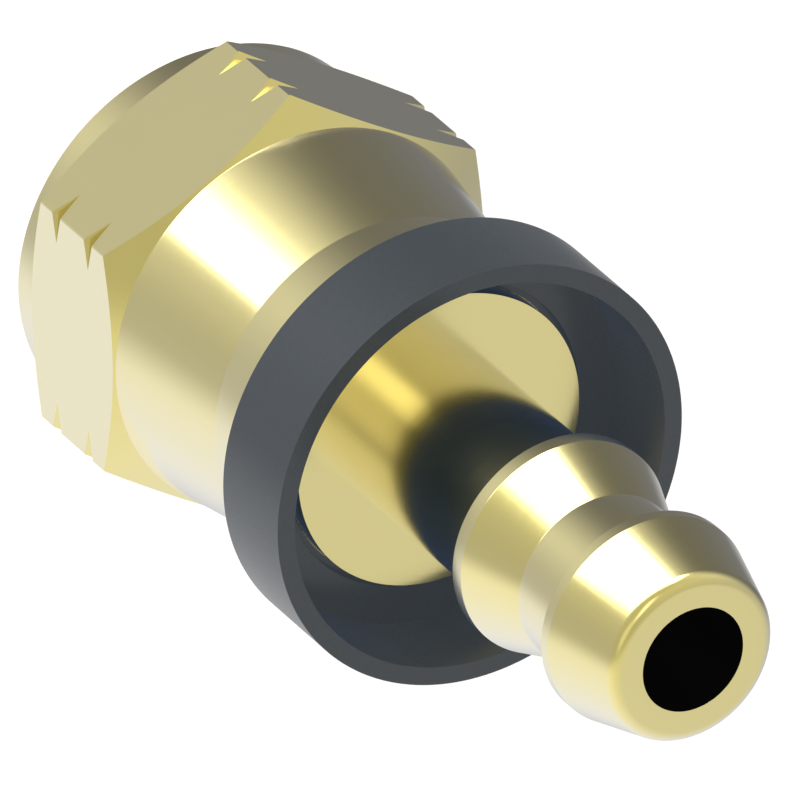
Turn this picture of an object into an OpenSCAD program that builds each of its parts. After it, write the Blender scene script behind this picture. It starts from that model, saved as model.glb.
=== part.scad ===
// Socketless push-on hose fitting with a female swivel nut, for a 1/4 inch hose.
// Three pieces: a turned nipple, a hexagon swivel nut crimped over the nipple's thrust
// flange, and a moulded collar that hides the cut end of the hose.
// Millimetres. The fitting stands on the open face of its nut with the hose end up (+Z),
// and the origin is the centre of that face. A corner of the hexagon points along +X.

/* [Nut, outside] */
// Width of the hexagon across its flats, 9/16 inch
hex_af = 14.29; // [13.9:0.01:17]
// Length of the hexagon over its two chamfers
hex_l = 5.52; // [4.8:0.01:9]
// Angle of the corner chamfers to the end faces
chamfer_angle = 30; // [20:1:40]
// Length of the turned land between the open face and the hexagon
land_l = 1.01; // [0.5:0.01:3]
// How far the land lies inside the flats
land_step = 0.045; // [0.02:0.005:0.2]
// How far the wide end of the tapered skirt lies inside the flats
skirt_step = 0.085; // [0.05:0.005:0.25]
// Length of the tapered skirt
skirt_l = 5.25; // [4.4:0.01:9]
// Diameter of the straight tail that is crimped in
tail_d = 12.54; // [12.3:0.01:13.3]
// Length of the straight tail
tail_l = 2.02; // [1.6:0.01:4]

/* [Nut, marking grooves] */
// Distance between the two grooves turned into the corners
groove_pitch = 2.12; // [1.4:0.01:2.5]
// Depth of a groove below the corners
groove_depth = 0.485; // [0.1:0.005:0.6]
// Angle between the sides of a groove
groove_angle = 60; // [50:1:80]

/* [Nut, inside] */
// Major diameter of the internal thread, 7/16 inch
thread_d = 11.11; // [10.5:0.01:11.3]
// Pitch of the internal thread, 20 to the inch
thread_pitch = 1.27; // [1:0.01:1.5]
// Depth from the open face to the end of the thread
thread_l = 8; // [6:0.1:9]
// How far the mouth chamfer opens past the thread
mouth_step = 0.2; // [0.05:0.01:0.4]
// How far the chamber behind the thread is relieved past the thread
relief_step = 0.09; // [0.04:0.01:0.2]
// Length of the lip that closes round the nipple's neck
lip_l = 1.68; // [1:0.01:1.9]
// Angle of the crimped cone inside the lip to the axis
crimp_angle = 45; // [35:1:60]

/* [Nipple, nut end] */
// Diameter of the neck that runs in the nut's lip
neck_d = 8.9; // [8:0.01:9.6]
// Diameter of the thrust flange that holds the nut
thrust_d = 11; // [10.3:0.01:11.1]
// Length of the thrust flange's rim
thrust_l = 0.72; // [0.4:0.01:1.2]
// Diameter of the head that carries the seat
head_d = 9.3; // [8.4:0.01:9.5]
// Length of the head past the thrust flange
head_l = 2.05; // [1:0.01:2.2]
// Half angle of the flare seat
seat_angle = 37; // [30:0.5:45]
// Width of the flat rim round the seat
seat_rim = 0.3; // [0.15:0.01:0.6]
// Thickness of the stop flange behind the collar
stop_l = 0.865; // [0.5:0.005:2]
// How far the stop flange stands out from the shoulder
stop_step = 0.72; // [0.3:0.01:1]

/* [Nipple, hose end] */
// Diameter of the bore
bore_d = 3.8; // [2.5:0.01:4.6]
// Diameter of the shoulder that carries the collar
shoulder_d = 10.75; // [9.6:0.01:11]
// Length of the shoulder past the stop flange
shoulder_l = 0.906; // [0.7:0.002:1.4]
// Diameter of the stem between the shoulder and the barbs
stem_d = 6.12; // [5.6:0.01:6.8]
// Length of the stem from the shoulder to the first barb
stem_l = 7.618; // [5:0.002:12]
// Diameter of the first barb over its crest
barb_d = 7.81; // [7.2:0.01:8.6]
// Length of the first barb's straight crest
barb_land = 0.544; // [0.2:0.002:1]
// Slope of the first barb to the axis
barb_angle = 20; // [14:1:30]
// Length of the waist between the barbs
waist_l = 2.753; // [1:0.001:5]
// Diameter of the end barb over its crest
tip_d = 7.62; // [7.2:0.01:8.4]
// Length of the end barb's straight crest
tip_land = 0.428; // [0.2:0.002:1]
// Slope of the end barb to the axis
tip_angle = 15; // [10:1:20]
// Length of the end barb's taper up to the nose face
tip_l = 2.913; // [2:0.001:4]
// Radius of the rounded nose edge
nose_r = 0.48; // [0.2:0.01:0.6]

/* [Collar] */
// Outside diameter of the collar
collar_d = 15.44; // [15:0.01:19]
// Height of the collar
collar_h = 3.633; // [2:0.001:6]
// Thickness of the collar's wall at its rim
collar_wall = 0.66; // [0.4:0.01:0.9]
// Draft of the wall inside the cup
collar_draft = 1.5; // [0:0.1:4]
// Thickness of the collar's floor
floor_t = 0.459; // [0.4:0.001:0.65]
// Width of the relief in the floor round the shoulder
relief_w = 0.225; // [0.1:0.005:0.4]
// Depth of that relief
relief_t = 0.26; // [0.1:0.01:0.35]

/* [Clearances] */
// Running clearance on the radius between the nipple and the nut
run_gap = 0.08; // [0.05:0.01:0.1]
// Play along the axis between the thrust flange and the crimped cone
play = 0.1; // [0.05:0.01:0.2]
// Gap along the axis between the nut's tail and the stop flange
tail_gap = 0.2; // [0.1:0.01:0.4]
// Clearance on the radius between the collar and the shoulder
push_gap = 0.02; // [0.01:0.005:0.05]

/* [Hidden] */

$fn = 96;
arc_steps = 10;
over = 1;
brass = [0.83, 0.78, 0.55];
slate = [0.30, 0.33, 0.36];

// The minor diameter of a 60 degree internal thread follows from its pitch
minor_ratio = 1.0825;

// Radii of the nut
corner_r = hex_af / 2 / cos(30);
land_r = hex_af / 2 - land_step;
skirt_r = hex_af / 2 - skirt_step;
tail_r = tail_d / 2;
thread_r = (thread_d - minor_ratio * thread_pitch) / 2;
mouth_r = thread_d / 2 + mouth_step;
chamber_r = thread_d / 2 + relief_step;
lip_r = neck_d / 2 + run_gap;

// Heights of the nut, from its open face
hex_z = land_l;
skirt_z = hex_z + hex_l;
tail_z = skirt_z + skirt_l;
nut_z = tail_z + tail_l;
lip_z = nut_z - lip_l;
chamber_z = lip_z - (chamber_r - lip_r) / tan(crimp_angle);

// Radii of the nipple
bore_r = bore_d / 2;
neck_r = neck_d / 2;
thrust_r = thrust_d / 2;
head_r = head_d / 2;
seat_r = head_r - seat_rim;
shoulder_r = shoulder_d / 2;
stop_r = shoulder_r + stop_step;
stem_r = stem_d / 2;
barb_r = barb_d / 2;
tip_r = tip_d / 2;

// Heights of the nipple: the head and the thrust flange hang from the nut's lip,
// and the stop flange and all above it stand on the nut's tail
thrust_top = lip_z - play;
thrust_z = thrust_top - (thrust_r - neck_r) / tan(crimp_angle);
head_top = thrust_z - thrust_l;
head_z = head_top - head_l;
seat_z = head_z + (seat_r - bore_r) / tan(seat_angle);
stop_z = nut_z + tail_gap;
seat_plane = stop_z + stop_l;
shoulder_z = seat_plane + shoulder_l;
barb_z = shoulder_z + stem_l;
barb_top = barb_z + barb_land;
waist_z = barb_top + (barb_r - stem_r) / tan(barb_angle);
tip_z = waist_z + waist_l;
tip_top = tip_z + tip_land;
nose_z = tip_top + tip_l;

// Centre of the nose radius, which touches the nose face and the end barb's taper
nose_cz = nose_z - nose_r;
nose_cr = tip_r - nose_r * cos(tip_angle)
        - (nose_cz + nose_r * sin(tip_angle) - tip_top) * tan(tip_angle);

// The collar sits on the stop flange and clips round the shoulder
collar_r = collar_d / 2;
rim_r = collar_r - collar_wall;
floor_z = seat_plane + floor_t;
rim_z = seat_plane + collar_h;
cup_r = rim_r - (rim_z - floor_z) * tan(collar_draft);
hole_r = shoulder_r + push_gap;
relief_r = hole_r + relief_w;

// Points of an arc round c, from angle a0 to a1
function arc(c, r, a0, a1) =
    [for (i = [0:arc_steps]) let (a = a0 + (a1 - a0) * i / arc_steps) c + r * [cos(a), sin(a)]];

// Outline of the nipple's outside, from the seat's rim up to the nose
function nipple_outline() = concat(
    [[seat_r, head_z], [head_r, head_z], [head_r, head_top], [thrust_r, head_top],
     [thrust_r, thrust_z], [neck_r, thrust_top], [neck_r, stop_z], [stop_r, stop_z],
     [stop_r, seat_plane], [shoulder_r, seat_plane], [shoulder_r, shoulder_z],
     [stem_r, shoulder_z], [stem_r, barb_z], [barb_r, barb_z], [barb_r, barb_top],
     [stem_r, waist_z], [stem_r, tip_z], [tip_r, tip_z], [tip_r, tip_top]],
    arc([nose_cr, nose_cz], nose_r, tip_angle, 90));

// Turned from bar: seat and thrust flange inside the nut, shoulder, stem and two barbs
module nipple() {
    color(brass)
    rotate_extrude()
    polygon(concat(nipple_outline(), [[bore_r, nose_z], [bore_r, seat_z]]));
}

// The hexagon with its corners turned off at both ends
module hexagon() {
    chamfer_l = (corner_r - skirt_r) * tan(chamfer_angle);
    land_chamfer_l = (corner_r - land_r) * tan(chamfer_angle);
    intersection() {
        translate([0, 0, hex_z]) cylinder(r = corner_r, h = hex_l, $fn = 6);
        rotate_extrude()
        polygon([[0, hex_z], [land_r, hex_z], [corner_r, hex_z + land_chamfer_l],
                 [corner_r, skirt_z - chamfer_l], [skirt_r, skirt_z], [0, skirt_z]]);
    }
}

// One V groove turned into the corners at height z
module marking_groove(z) {
    half_w = (groove_depth + over) * tan(groove_angle / 2);
    rotate_extrude()
    polygon([[corner_r - groove_depth, z], [corner_r + over, z - half_w],
             [corner_r + over, z + half_w]]);
}

// Everything that is bored out of the nut, as one turned shape
module nut_bore() {
    rotate_extrude()
    polygon([[0, -over], [mouth_r + over, -over], [thread_r, mouth_r - thread_r],
             [thread_r, thread_l], [chamber_r, thread_l + chamber_r - thread_r],
             [chamber_r, chamber_z], [lip_r, lip_z], [lip_r, nut_z + over], [0, nut_z + over]]);
}

// Hexagon, turned land behind it, tapered skirt in front of it and the crimped tail
module swivel_nut() {
    middle = hex_z + hex_l / 2;
    color(brass)
    difference() {
        union() {
            hexagon();
            cylinder(r = land_r, h = hex_z + hex_l / 2);
            rotate_extrude()
            polygon([[0, middle], [skirt_r, middle], [skirt_r, skirt_z], [tail_r, tail_z],
                     [tail_r, nut_z], [0, nut_z]]);
        }
        nut_bore();
        for (side = [-1, 1]) marking_groove(middle + side * groove_pitch / 2);
    }
}

// Moulded cup: the hose end is pushed into it up to the floor
module collar() {
    color(slate)
    rotate_extrude()
    polygon([[hole_r, seat_plane], [collar_r, seat_plane], [collar_r, rim_z], [rim_r, rim_z],
             [cup_r, floor_z], [relief_r, floor_z], [relief_r, floor_z - relief_t],
             [hole_r, floor_z - relief_t]]);
}

nipple();
swivel_nut();
collar();
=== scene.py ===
# A straight push-on hose fitting: a brass nipple with two barbs, a brass hexagon nut that
# swivels on it, and a dark plastic collar that hides the cut end of the hose. Lengths are
# in metres; the fitting stands on its nut's open face, hose end up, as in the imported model.

import math
import bpy
from mathutils import Matrix, Vector


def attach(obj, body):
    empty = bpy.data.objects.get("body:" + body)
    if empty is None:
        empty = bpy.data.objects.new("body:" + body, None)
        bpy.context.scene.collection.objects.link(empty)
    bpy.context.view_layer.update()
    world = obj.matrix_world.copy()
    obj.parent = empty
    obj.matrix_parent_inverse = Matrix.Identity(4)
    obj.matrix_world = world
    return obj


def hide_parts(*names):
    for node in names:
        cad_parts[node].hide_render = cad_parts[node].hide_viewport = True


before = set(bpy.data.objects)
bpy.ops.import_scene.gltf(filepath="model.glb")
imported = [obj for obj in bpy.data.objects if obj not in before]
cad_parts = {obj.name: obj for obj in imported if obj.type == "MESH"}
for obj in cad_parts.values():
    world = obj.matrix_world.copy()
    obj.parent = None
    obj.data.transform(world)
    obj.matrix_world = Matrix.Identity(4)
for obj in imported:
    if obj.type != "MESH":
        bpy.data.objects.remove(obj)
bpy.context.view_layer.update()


# ---- Camera ---------------------------------------------------------------------------
# The photograph looks down on the hose end from behind, through a very long lens, with
# the camera rolled so that the fitting's axis runs to the lower right of the picture.
MM = 0.001
toward = Vector((-0.12515, 0.64990, 0.74960)).normalized()
picture_right = Vector((0.75005, -0.43268, 0.50030)).normalized()
picture_up = toward.cross(picture_right).normalized()
picture_right = picture_up.cross(toward)
disc_face = 15.771
disc_centre = Vector((0, 0, disc_face * MM))
picture_centre = disc_centre - picture_right * 1.2955 * MM + picture_up * 1.3099 * MM
picture_width = 26.47 * MM

camera_data = bpy.data.cameras.new("camera")
camera_data.lens = 1500
camera_data.sensor_width = 36
camera_distance = picture_width * camera_data.lens / camera_data.sensor_width
camera_data.clip_start = 0.01
camera_data.clip_end = 10
camera = bpy.data.objects.new("camera", camera_data)
camera_turn = Matrix((picture_right, picture_up, toward)).transposed().to_4x4()
camera.matrix_world = Matrix.Translation(picture_centre + toward * camera_distance) @ camera_turn
bpy.context.scene.collection.objects.link(camera)
bpy.context.scene.camera = camera
bpy.context.scene.view_settings.view_transform = "Standard"


# ---- Studio ---------------------------------------------------------------------------
# The surroundings that the brass mirrors: pale walls, a bright floor, a dark side behind
# the hexagon, a long soft panel overhead and a small lamp above the camera, which looks
# down by 23 degrees. All of it is fixed in the room and stays put in other views.
room_up = (picture_up * 0.92 + toward * 0.39).normalized()
room_right = picture_right
room_near = room_right.cross(room_up)


def room_direction(azimuth, elevation):
    """Where a point of the room lies, in degrees round from the camera to the right, and up."""
    a, e = math.radians(azimuth), math.radians(elevation)
    level = room_right * math.sin(a) + room_near * math.cos(a)
    return level * math.cos(e) + room_up * math.sin(e)


def open_nodes(owner):
    """Opens the nodes of a world or a material. What calc, ramp, along and noise make goes there."""
    global nodes, links
    owner.use_nodes = True
    nodes, links = owner.node_tree.nodes, owner.node_tree.links


def calc(operation, *values):
    """One Math node on sockets or numbers."""
    node = nodes.new("ShaderNodeMath")
    node.operation = operation
    for socket, value in zip(node.inputs, values):
        if isinstance(value, (int, float)):
            socket.default_value = value
        else:
            links.new(value, socket)
    return node.outputs[0]


def ramp(value, start, end, low=0.0, high=1.0):
    """A smooth step from low to high as value goes from start to end."""
    node = nodes.new("ShaderNodeMapRange")
    node.interpolation_type = "SMOOTHSTEP"
    links.new(value, node.inputs["Value"])
    for name, number in (("From Min", start), ("From Max", end), ("To Min", low), ("To Max", high)):
        node.inputs[name].default_value = number
    return node.outputs["Result"]


def along(direction):
    """How far the ray points along a direction, from -1 to 1."""
    node = nodes.new("ShaderNodeVectorMath")
    node.operation = "DOT_PRODUCT"
    links.new(ray, node.inputs[0])
    node.inputs[1].default_value = direction
    return node.outputs["Value"]


world = bpy.data.worlds.new("studio")
bpy.context.scene.world = world
open_nodes(world)
nodes.clear()
ray = nodes.new("ShaderNodeTexCoord").outputs["Generated"]
across, height, near = along(room_right), along(room_up), along(room_near)

# The walls are lighter towards the camera, at the right front and high up. They fade to the
# dark side, which lies behind the fitting.
dark_level = 0.19
lit_side = calc("POWER", ramp(along(room_direction(165, 14)), start=0.26, end=0.88, low=1.0, high=0.0), 1.25)
walls = calc("MULTIPLY_ADD", near, 0.045, 0.625)
walls = calc("ADD", walls, ramp(along(room_direction(55, 20)), start=0.70, end=1.0, low=0.0, high=0.14))
upper_walls = ramp(near, start=0.40, end=0.05, low=0.08, high=0.25)
walls = calc("MULTIPLY_ADD", ramp(height, start=0.05, end=0.62), upper_walls, walls)
walls = calc("MULTIPLY_ADD", calc("SUBTRACT", walls, dark_level), lit_side, dark_level)

# The floor of the room is lighter to the left, towards the camera and straight below.
ground = calc("MULTIPLY_ADD", across, -0.22, 0.86)
ground = calc("MULTIPLY_ADD", calc("MINIMUM", near, 0.45), 0.24, ground)
ground = calc("MULTIPLY_ADD", height, -0.18, ground)
ground = calc("MULTIPLY", ground, calc("MULTIPLY_ADD", lit_side, 0.2, 0.8))
below = ramp(calc("MULTIPLY_ADD", near, 0.06, height), start=-0.115, end=-0.45)
room = calc("MULTIPLY_ADD", below, calc("SUBTRACT", ground, walls), walls)

# The panel lies level overhead. Its places are those where the ray meets its plane, for a
# height of 1, measured from the panel's middle along its length and its width.
panel_left, panel_near = 0.58, 0.04
panel_light, halo_light = 3.6, 0.15
plane = calc("MAXIMUM", height, 0.05)
panel_x = calc("ABSOLUTE", calc("ADD", calc("DIVIDE", across, plane), panel_left))
panel_y = calc("ABSOLUTE", calc("SUBTRACT", calc("DIVIDE", near, plane), panel_near))
upward = ramp(height, start=0.1, end=0.2)
panel = calc("MULTIPLY", ramp(panel_x, start=0.96, end=0.88), ramp(panel_y, start=0.31, end=0.26))
halo = calc("MULTIPLY", ramp(panel_x, start=1.50, end=0.85), ramp(panel_y, start=0.62, end=0.28))
room = calc("MULTIPLY_ADD", calc("MULTIPLY", panel, upward), panel_light, room)
room = calc("MULTIPLY_ADD", calc("MULTIPLY", halo, upward), halo_light, room)

# The small lamp is a tall soft patch, and a faint glow lies beside the camera.
lamp_edge = math.cos(math.radians(18.5))
lamp_core = math.cos(math.radians(5))
small_lamp = ramp(along(room_direction(5, 28)), start=lamp_edge, end=lamp_core, low=0.0, high=1.4)
beside_lamp = calc("ABSOLUTE", along(room_direction(95, 0)))
small_lamp = calc("MULTIPLY", small_lamp, ramp(beside_lamp, start=0.21, end=0.07, low=0.25, high=1.0))
room = calc("ADD", room, small_lamp)
room = calc("ADD", room, ramp(along(room_direction(-14, 6)), start=0.927, end=0.998, low=0.0, high=0.4))

# A third of the light that dull surfaces get comes from the room, the rest from fill lamps
# without shadows, so that the inside of the collar is as light as in the photograph.
path = nodes.new("ShaderNodeLightPath")
room = calc("MULTIPLY", room, calc("MULTIPLY_ADD", path.outputs["Is Diffuse Ray"], -0.65, 1.0))
mirrored_room = nodes.new("ShaderNodeBackground")
mirrored_room.inputs["Color"].default_value = (1, 1, 1, 1)
links.new(room, mirrored_room.inputs["Strength"])
white = nodes.new("ShaderNodeBackground")
white.inputs["Color"].default_value = (1, 1, 1, 1)
mix = nodes.new("ShaderNodeMixShader")
links.new(path.outputs["Is Camera Ray"], mix.inputs[0])
links.new(mirrored_room.outputs[0], mix.inputs[1])
links.new(white.outputs[0], mix.inputs[2])
links.new(mix.outputs[0], nodes.new("ShaderNodeOutputWorld").inputs["Surface"])

for direction, energy in ((toward, 1.15), (-toward, 1.15), (picture_right, 1.15), (-picture_right, 1.5),
                          (picture_up, 1.7), (-picture_up, 1.15)):
    bpy.ops.object.light_add(type="SUN", rotation=direction.to_track_quat("Z", "Y").to_euler())
    fill = bpy.context.object
    fill.name = "fill"
    fill.data.energy = energy
    fill.data.use_shadow = False
    fill.visible_glossy = False

# The plain pale floor. It keeps a soft shadow of the fitting for the camera, and is left
# out of what the brass mirrors, because in the photograph nothing lies under the fitting.
# It lies a hair below the nut's open face, so that the two don't share a plane.
bpy.ops.object.select_all(action="DESELECT")
bpy.ops.mesh.primitive_circle_add(vertices=64, radius=2.0, fill_type="NGON", location=(0, 0, -0.02 * MM))
floor = bpy.context.object
floor.name = "floor"
floor.visible_glossy = False
floor.visible_shadow = False
paper = bpy.data.materials.new("white_paper")
open_nodes(paper)
shader = nodes["Principled BSDF"]
shader.inputs["Base Color"].default_value = (0.80, 0.80, 0.80, 1)
shader.inputs["Roughness"].default_value = 0.9
shader.inputs["Specular IOR Level"].default_value = 0.0
shader.inputs["Emission Color"].default_value = (1, 1, 1, 1)
path = nodes.new("ShaderNodeLightPath")
links.new(calc("MULTIPLY", path.outputs["Is Camera Ray"], 0.28), shader.inputs["Emission Strength"])
floor.data.materials.append(paper)


# ---- Nipple ---------------------------------------------------------------------------
# One piece turned from brass bar: flare seat, head and thrust flange inside the nut, stop
# flange and shoulder for the collar, stem, and two barbs that grip the hose. It is drawn
# ring by ring along its outline, as the tool goes, and its edges are then broken.
AROUND = 192


def turned(name, outline, turn=0.0):
    """A closed body of revolution: one ring, drawn out and scaled along its outline.
    The outline holds (radius, height) in mm, and turn sets its seam round the axis."""
    bpy.ops.object.select_all(action="DESELECT")
    radius, height = outline[0]
    bpy.ops.mesh.primitive_circle_add(vertices=AROUND, radius=radius * MM, location=(0, 0, height * MM),
                                      rotation=(0, 0, math.radians(turn)))
    piece = bpy.context.object
    piece.name = piece.data.name = name
    bpy.ops.object.transform_apply(location=True, rotation=True, scale=True)
    bpy.ops.object.mode_set(mode="EDIT")
    bpy.ops.mesh.select_all(action="SELECT")
    for next_radius, next_height in outline[1:] + outline[:1]:
        bpy.ops.mesh.extrude_edges_move(
            TRANSFORM_OT_translate={"value": (0, 0, (next_height - height) * MM)})
        step = next_radius / radius
        bpy.ops.transform.resize(value=(step, step, 1), center_override=(0, 0, 0))
        radius, height = next_radius, next_height
    bpy.ops.mesh.select_all(action="SELECT")
    bpy.ops.mesh.remove_doubles(threshold=0.0005 * MM)
    bpy.ops.mesh.normals_make_consistent(inside=False)
    bpy.ops.object.mode_set(mode="OBJECT")
    return piece


def arc(centre, radius, start, end, steps):
    """Points of the outline on a rounded edge, angles in degrees from outwards to upwards."""
    angles = [math.radians(start + (end - start) * i / steps) for i in range(steps + 1)]
    return [(centre[0] + radius * math.cos(a), centre[1] + radius * math.sin(a)) for a in angles]


def break_edges(piece, width, leave=()):
    """Shades the piece smooth up to its sharp edges, and takes the sharpness off those by width, in mm.
    Rings listed in leave as (radius, height) keep their sharp corner."""
    sharpness = math.radians(10)
    bpy.context.view_layer.objects.active = piece
    piece.select_set(True)
    bpy.ops.object.shade_smooth_by_angle(angle=sharpness)
    bpy.ops.object.mode_set(mode="EDIT")
    bpy.ops.mesh.select_mode(type="EDGE")
    bpy.ops.mesh.select_all(action="DESELECT")
    bpy.ops.mesh.edges_select_sharp(sharpness=sharpness)
    bpy.ops.object.mode_set(mode="OBJECT")
    for edge in piece.data.edges:
        ends = [piece.data.vertices[i].co / MM for i in edge.vertices]
        for radius, height in leave:
            if all(abs(e.xy.length - radius) < 0.01 and abs(e.z - height) < 0.01 for e in ends):
                edge.select = False
    bpy.ops.object.mode_set(mode="EDIT")
    bpy.ops.mesh.bevel(offset=width * MM, segments=2, affect="EDGES", clamp_overlap=True,
                       harden_normals=True)
    bpy.ops.object.mode_set(mode="OBJECT")


# Radii of the nipple, in mm
seat, head, thrust_flange, neck = 4.35, 4.65, 5.50, 4.45
stop_flange, shoulder, stem, bore = 6.095, 5.375, 3.06, 1.90
barb_crest, tip_crest, nose_edge = 3.905, 3.81, 0.48

# Heights of the nipple, in mm, where more than one point needs them
head_top, stop_foot, stop_top = 10.250, 14.000, 14.865
barb_foot, tip_foot, tip_top, nose_face = 23.389, 29.008, 29.436, 32.349

# The rounded edge of the nose touches the nose face and the end barb's slope
tip_slope = math.radians(15)
nose_height = nose_face - nose_edge
below_nose = nose_height + nose_edge * math.sin(tip_slope) - tip_top
nose_radius = tip_crest - nose_edge * math.cos(tip_slope) - below_nose * math.tan(tip_slope)
nose = arc((nose_radius, nose_height), nose_edge, 15, 90, 12)

nipple = turned("nipple_turned", [
    (seat, 8.200), (head, 8.200), (head, head_top), (thrust_flange, head_top), (thrust_flange, 10.970),
    (neck, 12.020), (neck, stop_foot), (stop_flange, stop_foot), (stop_flange, stop_top),
    (shoulder, stop_top), (shoulder, disc_face), (stem, disc_face), (stem, barb_foot),
    (barb_crest, barb_foot), (barb_crest, 23.933), (stem, 26.255), (stem, tip_foot),
    (tip_crest, tip_foot), (tip_crest, tip_top)] + nose + [(bore, nose_face), (bore, 11.451)])
break_edges(nipple, 0.012, leave=[(stem, disc_face)])


def noise(coordinates, scale, detail):
    """A Noise Texture node, scale in cells to the metre."""
    node = nodes.new("ShaderNodeTexNoise")
    node.inputs["Scale"].default_value = scale
    node.inputs["Detail"].default_value = detail
    node.inputs["Roughness"].default_value = 0.5
    links.new(coordinates, node.inputs["Vector"])
    return node.outputs["Fac"]


def raise_grain(shader, grain, strength):
    """A shallow relief of the surface, as high as the grain."""
    bump = nodes.new("ShaderNodeBump")
    bump.inputs["Strength"].default_value = strength
    bump.inputs["Distance"].default_value = 0.002 * MM
    links.new(grain, bump.inputs["Height"])
    links.new(bump.outputs[0], shader.inputs["Normal"])


def brass(name, lines):
    """Bright brass. lines is how it was cut: "turned" has rings round the axis, "drawn" lines along it."""
    material = bpy.data.materials.new(name)
    open_nodes(material)
    shader = nodes["Principled BSDF"]
    shader.inputs["Metallic"].default_value = 1.0
    place = nodes.new("ShaderNodeTexCoord").outputs["Object"]
    split = nodes.new("ShaderNodeSeparateXYZ")
    links.new(place, split.inputs[0])
    cut = nodes.new("ShaderNodeCombineXYZ")
    if lines == "turned":
        radius = calc("SQRT", calc("ADD", calc("MULTIPLY", split.outputs["X"], split.outputs["X"]),
                                   calc("MULTIPLY", split.outputs["Y"], split.outputs["Y"])))
        links.new(radius, cut.inputs["X"])
        links.new(split.outputs["Z"], cut.inputs["Y"])
    else:
        links.new(split.outputs["X"], cut.inputs["X"])
        links.new(split.outputs["Y"], cut.inputs["Y"])
        links.new(calc("MULTIPLY", split.outputs["Z"], 0.02), cut.inputs["Z"])
    tool_marks = noise(cut.outputs[0], 9000, 3)
    handling = noise(place, 350, 2)

    # Brass is yellow face on and turns white towards a grazing view
    colour = nodes.new("ShaderNodeMix")
    colour.data_type = "RGBA"
    colour.inputs["A"].default_value = (0.70, 0.60, 0.20, 1)
    colour.inputs["B"].default_value = (1.0, 1.0, 1.0, 1)
    facing = nodes.new("ShaderNodeLayerWeight")
    facing.inputs["Blend"].default_value = 0.5
    links.new(calc("POWER", facing.outputs["Facing"], 1.5), colour.inputs["Factor"])
    links.new(colour.outputs["Result"], shader.inputs["Base Color"])
    rough = calc("MULTIPLY_ADD", tool_marks, 0.05, 0.115)
    links.new(calc("MULTIPLY_ADD", handling, 0.03, rough), shader.inputs["Roughness"])
    raise_grain(shader, tool_marks, 0.10)
    return material


turned_brass = brass("turned_brass", "turned")
# Painted shade: the brass inside the bore is coloured near black and has no gloss, so that the flow bore
# renders as dark as deep shadow.
bore_shade = bpy.data.materials.new("bore_shade")
open_nodes(bore_shade)
shader = nodes["Principled BSDF"]
shader.inputs["Base Color"].default_value = (0.002, 0.002, 0.002, 1)
shader.inputs["Specular IOR Level"].default_value = 0.0
nipple.data.materials.append(turned_brass)
nipple.data.materials.append(bore_shade)
for face in nipple.data.polygons:
    if face.center.xy.length < (bore + 0.001) * MM:
        face.material_index = 1
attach(nipple, "hose_end")
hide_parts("nipple")


# ---- Swivel nut -----------------------------------------------------------------------
# Cut from drawn hexagon bar: the corners, the two V grooves, the skirt and the tail are
# turned, the flats stay as drawn. Inside it has a right-hand thread, a relieved chamber
# and the lip that is crimped in over the nipple's thrust flange.
flat = 14.29 / 2
corner = flat / math.cos(math.radians(30))
past_corner = corner + 0.15
chamfer_rise = math.tan(math.radians(30))
groove_floor = corner - 0.485
groove_out = (past_corner - groove_floor) * math.tan(math.radians(60 / 2))

# Radii of the nut, in mm
mouth, land, skirt, tail = 5.755, 7.10, 7.06, 6.27
lip, chamber, thread_crest = 4.53, 5.645, 4.868

# Heights of the nut, in mm, where more than one point needs them
hexagon_foot, hexagon_top, nut_top = 1.01, 6.53, 13.80
first_groove, second_groove = 2.71, 4.83

nut = turned("nut_turned", [
    (mouth, 0.0), (land, 0.0), (land, hexagon_foot),
    (past_corner, hexagon_foot + (past_corner - land) * chamfer_rise),
    (past_corner, first_groove - groove_out), (groove_floor, first_groove),
    (past_corner, first_groove + groove_out),
    (past_corner, second_groove - groove_out), (groove_floor, second_groove),
    (past_corner, second_groove + groove_out),
    (past_corner, hexagon_top - (past_corner - skirt) * chamfer_rise), (skirt, hexagon_top),
    (tail, 11.78), (tail, nut_top), (lip, nut_top), (lip, 12.12), (chamber, 11.005), (chamber, 8.777),
    (thread_crest, 8.0), (thread_crest, 0.887)], turn=0.6)
break_edges(nut, 0.03, leave=[(skirt, hexagon_top)])
bpy.ops.object.select_all(action="DESELECT")
bpy.ops.mesh.primitive_cylinder_add(vertices=6, radius=corner * MM, depth=30 * MM, location=(0, 0, 7 * MM),
                                    rotation=(0, 0, math.radians(30)))
bar = bpy.context.object
bpy.ops.object.transform_apply(location=True, rotation=True, scale=True)
break_edges(bar, 0.03)


def combine(piece, tool, operation):
    """Cuts the piece with the tool, or keeps what both share, and takes the tool away."""
    modifier = piece.modifiers.new("cut", "BOOLEAN")
    modifier.object = tool
    modifier.operation = operation
    modifier.solver = "EXACT"
    bpy.ops.object.select_all(action="DESELECT")
    bpy.context.view_layer.objects.active = piece
    piece.select_set(True)
    bpy.ops.object.modifier_apply(modifier=modifier.name)
    bpy.data.objects.remove(tool)


combine(nut, bar, "INTERSECT")

# The thread's groove is a wire of its own section, wound to the right and taken out of the
# wall. The section is wide where it opens into the bore and narrow at the thread's root.
pitch = 1.27
wire_inside, thread_root = 4.75, 5.555
wire_depth, wire_mouth, wire_root = 0.805, 1.089, 0.159
wire_start = -0.70
bpy.ops.object.select_all(action="DESELECT")
bpy.ops.mesh.primitive_plane_add(size=1 * MM, rotation=(math.radians(90), 0, 0))
wire = bpy.context.object
wire.scale = (wire_depth, wire_mouth, 1)
wire.location = ((wire_inside + thread_root) / 2 * MM, 0, wire_start * MM)
bpy.ops.object.transform_apply(location=True, rotation=True, scale=True)
for vertex in wire.data.vertices:
    vertex.select = vertex.co.x > 5.2 * MM
bpy.ops.object.mode_set(mode="EDIT")
bpy.ops.mesh.select_mode(type="EDGE")
bpy.ops.transform.resize(value=(1, 1, wire_root / wire_mouth),
                         center_override=(thread_root * MM, 0, wire_start * MM))
bpy.ops.object.mode_set(mode="OBJECT")
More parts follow.
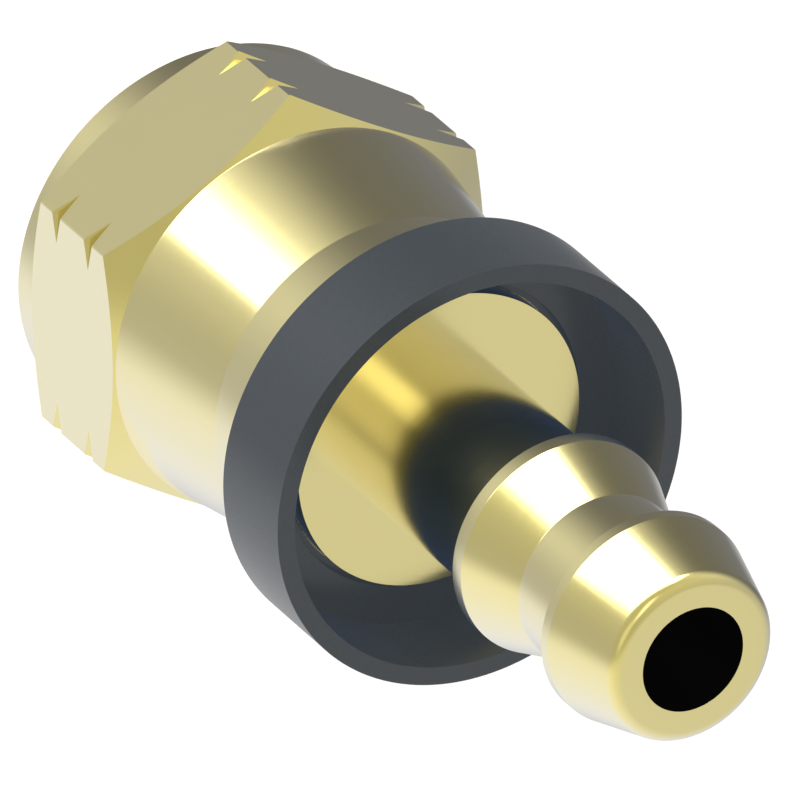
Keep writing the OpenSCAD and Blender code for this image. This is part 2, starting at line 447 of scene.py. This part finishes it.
winding = wire.modifiers.new("winding", "SCREW")
winding.axis = "Z"
winding.screw_offset = pitch * MM
winding.iterations = 8
winding.steps = winding.render_steps = 96
winding.use_merge_vertices = False
bpy.ops.object.modifier_apply(modifier="winding")
bpy.ops.object.mode_set(mode="EDIT")
bpy.ops.mesh.select_all(action="SELECT")
bpy.ops.mesh.fill_holes(sides=0)
bpy.ops.mesh.normals_make_consistent(inside=False)
bpy.ops.object.mode_set(mode="OBJECT")
combine(nut, wire, "DIFFERENCE")
bpy.ops.mesh.customdata_custom_splitnormals_clear()
bpy.ops.object.shade_smooth_by_angle(angle=math.radians(5))

drawn_brass = brass("drawn_brass", "drawn")
nut.data.materials.append(turned_brass)
nut.data.materials.append(drawn_brass)
for face in nut.data.polygons:
    on_flat = abs(face.center.dot(face.normal) - flat * MM) < 0.002 * MM
    if on_flat and abs(face.normal.z) < 0.001:
        face.material_index = 1
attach(nut, "nut")
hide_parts("swivel_nut")


# ---- Collar ---------------------------------------------------------------------------
# A moulded cup of dark slate plastic, pushed over the shoulder against the stop flange.
# It hides the cut end of the hose. Its edges are slightly rounded, as they leave a mould.
hole, relief, cup_foot, rim, outside = 5.395, 5.62, 6.977, 7.06, 7.72
relief_floor, cup_floor, rim_top = 14.92, 15.324, 18.498
collar = turned("collar_cup", [
    (hole, stop_top), (outside, stop_top), (outside, rim_top), (rim, rim_top),
    (cup_foot, cup_floor), (relief, cup_floor), (relief, relief_floor), (hole, relief_floor)])
break_edges(collar, 0.015, leave=[(cup_foot, cup_floor), (relief, relief_floor), (hole, relief_floor)])

slate_plastic = bpy.data.materials.new("slate_plastic")
open_nodes(slate_plastic)
shader = nodes["Principled BSDF"]
shader.inputs["Specular IOR Level"].default_value = 0.38
place = nodes.new("ShaderNodeTexCoord").outputs["Object"]
grain = noise(place, 9000, 3)
flow = noise(place, 500, 2)
slate = nodes.new("ShaderNodeMix")
slate.data_type = "RGBA"
slate.inputs["A"].default_value = (0.034, 0.041, 0.048, 1)
slate.inputs["B"].default_value = (0.044, 0.051, 0.058, 1)
links.new(grain, slate.inputs["Factor"])

# Painted reflection colour: brass takes the blue out of what it mirrors, so the plastic is painted bluer
# only where a mirror sees it. Its mirrored patch on the stem then stays slate.
painted_reflection_colour = nodes.new("ShaderNodeMix")
painted_reflection_colour.data_type = "RGBA"
painted_reflection_colour.inputs["B"].default_value = (0.025, 0.040, 0.078, 1)
links.new(slate.outputs["Result"], painted_reflection_colour.inputs["A"])
links.new(nodes.new("ShaderNodeLightPath").outputs["Is Glossy Ray"], painted_reflection_colour.inputs["Factor"])
links.new(painted_reflection_colour.outputs["Result"], shader.inputs["Base Color"])
rough = calc("MULTIPLY_ADD", grain, 0.06, 0.17)
links.new(calc("MULTIPLY_ADD", flow, 0.06, rough), shader.inputs["Roughness"])
raise_grain(shader, grain, 0.08)
collar.data.materials.append(slate_plastic)
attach(collar, "hose_end")
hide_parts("collar")
